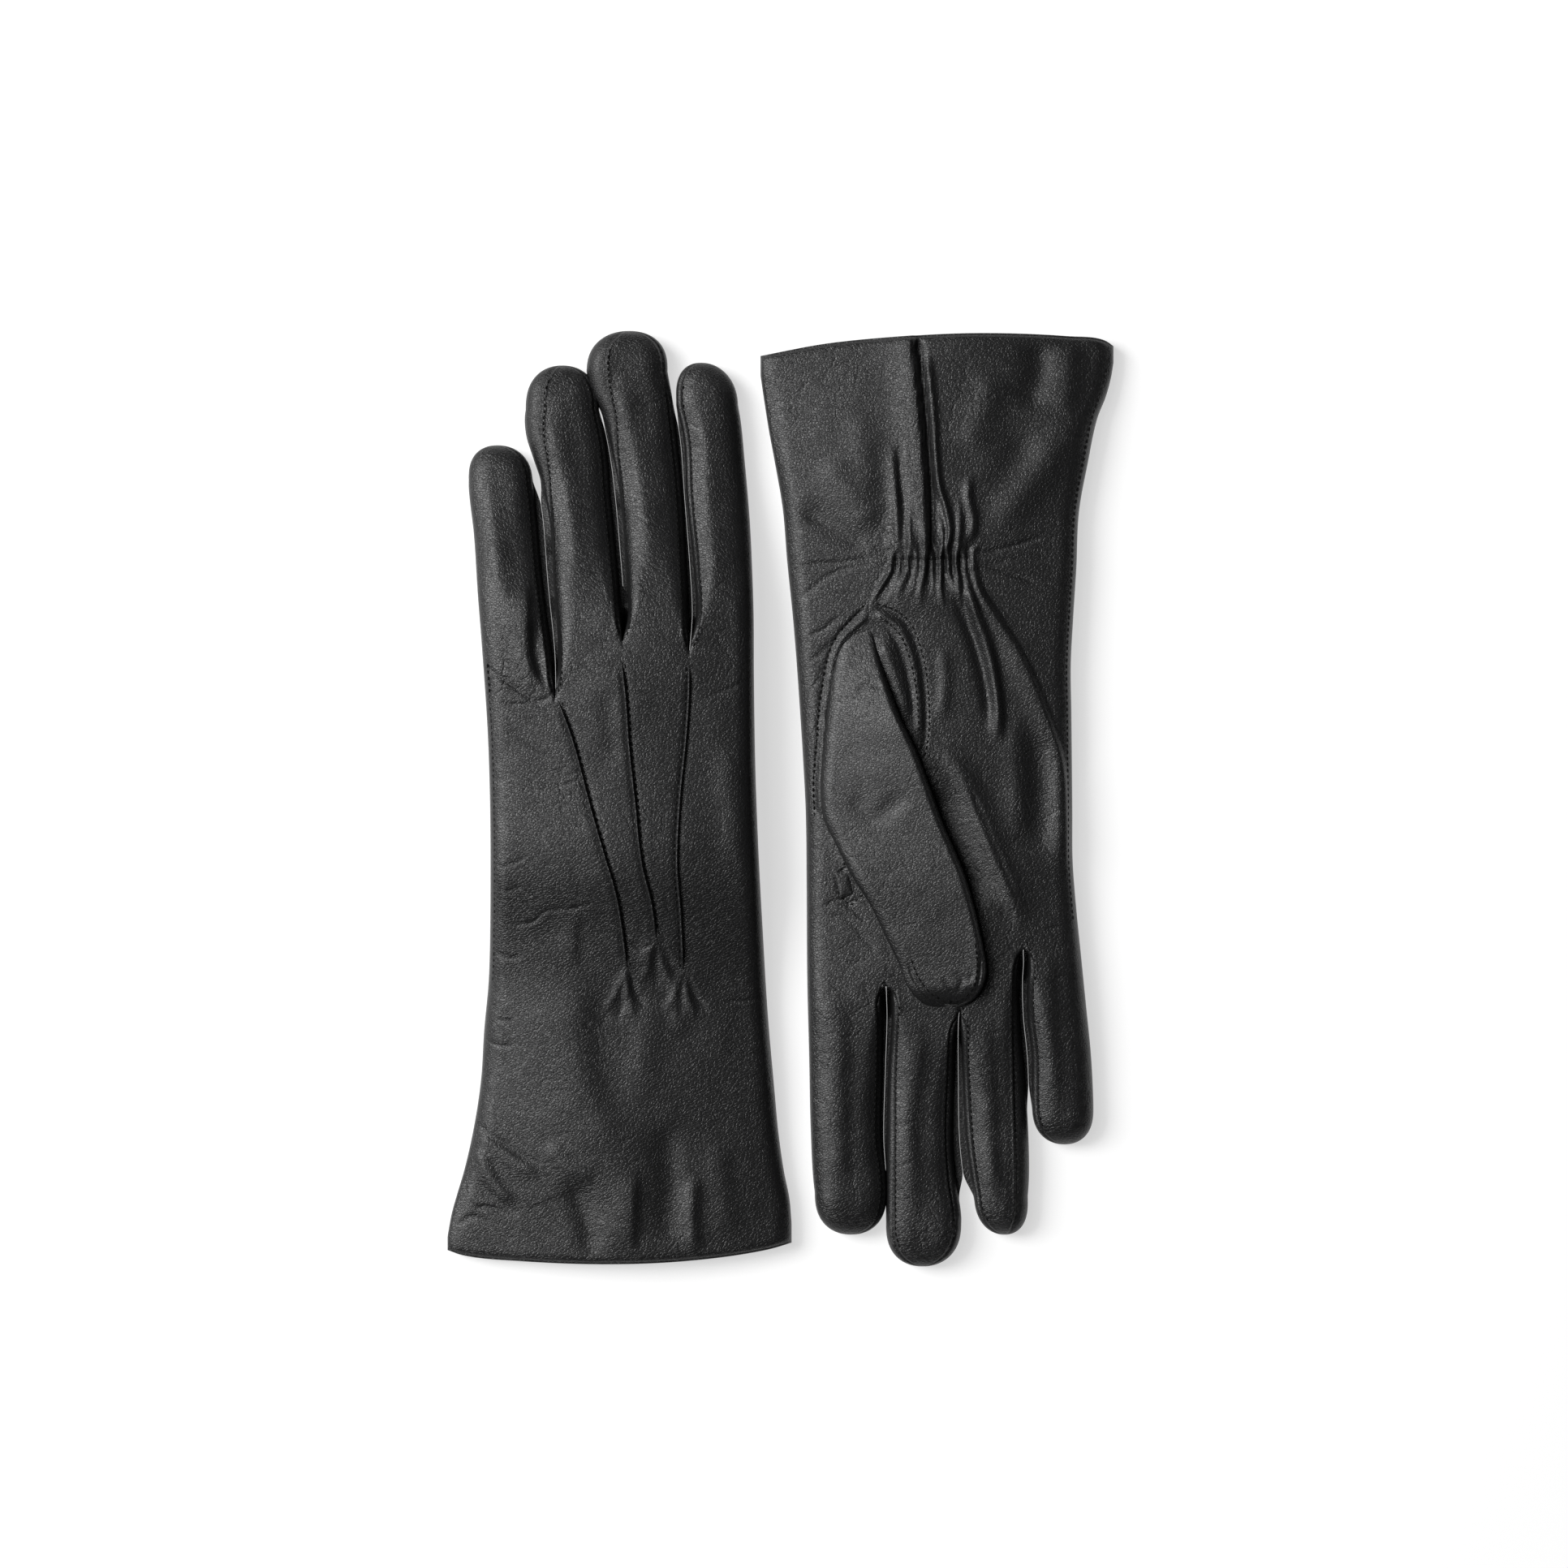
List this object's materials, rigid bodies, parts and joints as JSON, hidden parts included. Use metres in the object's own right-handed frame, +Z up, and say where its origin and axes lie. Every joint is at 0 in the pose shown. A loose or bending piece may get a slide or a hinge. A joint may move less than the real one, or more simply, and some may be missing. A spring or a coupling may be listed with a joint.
{
  "type": "pair of leather gloves",
  "caption": "Pair of black leather dress gloves with gathered wrists and long cuffs, one lying back up and one palm up, each over or under its own folded thumb",
  "frame": {"origin": "centre of the pair's bounding box, on the table", "axes": "+Z up from the table, +Y along the gloves, towards the left glove's fingertips, +X from the left glove to the right one"},
  "size_m": [0.2172, 0.3056, 0.0212],
  "materials": {
    "nappa": "black fine-grain glove leather, soft sheen",
    "lining_knit": "fine black knit",
    "elastic_tape": "black woven elastic tape",
    "thread": "black sewing thread"
  },
  "bodies": {
    "left_hand": {"left_back_panel": "nappa", "left_back_points": "nappa", "left_cuff_hem": "nappa", "left_hand_lining": "lining_knit", "left_palm_panel": "nappa", "left_point_threads": "thread", "left_thumb_base": "nappa", "left_thumb_quirk": "nappa", "left_wrist_elastic": "elastic_tape"},
    "right_hand": {"right_back_panel": "nappa", "right_back_points": "nappa", "right_cuff_hem": "nappa", "right_hand_lining": "lining_knit", "right_palm_panel": "nappa", "right_point_threads": "thread", "right_thumb_base": "nappa", "right_thumb_quirk": "nappa", "right_wrist_elastic": "elastic_tape"},
    "left_index": {"left_index_fourchette": "nappa", "left_index_lining": "lining_knit", "left_index_shell": "nappa"},
    "left_middle": {"left_middle_fourchettes": "nappa", "left_middle_lining": "lining_knit", "left_middle_shell": "nappa"},
    "left_ring": {"left_ring_fourchettes": "nappa", "left_ring_lining": "lining_knit", "left_ring_shell": "nappa"},
    "left_little": {"left_little_fourchette": "nappa", "left_little_lining": "lining_knit", "left_little_shell": "nappa"},
    "left_thumb": {"left_thumb_shell": "nappa", "left_thumb_lining": "lining_knit"},
    "right_index": {"right_index_fourchette": "nappa", "right_index_lining": "lining_knit", "right_index_shell": "nappa"},
    "right_middle": {"right_middle_fourchettes": "nappa", "right_middle_lining": "lining_knit", "right_middle_shell": "nappa"},
    "right_ring": {"right_ring_fourchettes": "nappa", "right_ring_lining": "lining_knit", "right_ring_shell": "nappa"},
    "right_little": {"right_little_fourchette": "nappa", "right_little_lining": "lining_knit", "right_little_shell": "nappa"},
    "right_thumb": {"right_thumb_shell": "nappa", "right_thumb_lining": "lining_knit"}
  },
  "joints": [
    {"name": "right_glove_apart", "type": "slide", "parent": "left_hand", "child": "right_hand", "axis": [1, 0, 0], "range_m": [0, 0.15]},
    {"name": "left_index_bend", "type": "hinge", "parent": "left_hand", "child": "left_index", "pos_m": [-0.0188, 0.07, 0.0139], "axis": [-1, 0, 0], "range_deg": [-15, 70]},
    {"name": "left_middle_bend", "type": "hinge", "parent": "left_hand", "child": "left_middle", "pos_m": [-0.0419, 0.078, 0.013], "axis": [-1, 0, 0], "range_deg": [-15, 70]},
    {"name": "left_ring_bend", "type": "hinge", "parent": "left_hand", "child": "left_ring", "pos_m": [-0.0649, 0.078, 0.013], "axis": [-1, 0, 0], "range_deg": [-15, 70]},
    {"name": "left_little_bend", "type": "hinge", "parent": "left_hand", "child": "left_little", "pos_m": [-0.0872, 0.0574, 0.0142], "axis": [-1, 0, 0], "range_deg": [-15, 70]},
    {"name": "left_thumb_fold", "type": "hinge", "parent": "left_hand", "child": "left_thumb", "pos_m": [-0.048, -0.0221, 0.0045], "axis": [-0.4363, -0.8998, 0], "range_deg": [0, 100]},
    {"name": "right_index_bend", "type": "hinge", "parent": "right_hand", "child": "right_index", "pos_m": [0.0216, -0.07, 0.0064], "axis": [-1, 0, 0], "range_deg": [-15, 90]},
    {"name": "right_middle_bend", "type": "hinge", "parent": "right_hand", "child": "right_middle", "pos_m": [0.0462, -0.078, 0.0064], "axis": [-1, 0, 0], "range_deg": [-15, 90]},
    {"name": "right_ring_bend", "type": "hinge", "parent": "right_hand", "child": "right_ring", "pos_m": [0.0689, -0.078, 0.0064], "axis": [-1, 0, 0], "range_deg": [-15, 90]},
    {"name": "right_little_bend", "type": "hinge", "parent": "right_hand", "child": "right_little", "pos_m": [0.0899, -0.0574, 0.0064], "axis": [-1, 0, 0], "range_deg": [-15, 90]},
    {"name": "right_thumb_fold", "type": "hinge", "parent": "right_hand", "child": "right_thumb", "pos_m": [0.0485, 0.0221, 0.0167], "axis": [-0.4363, -0.8998, 0], "range_deg": [0, 100]}
  ]
}
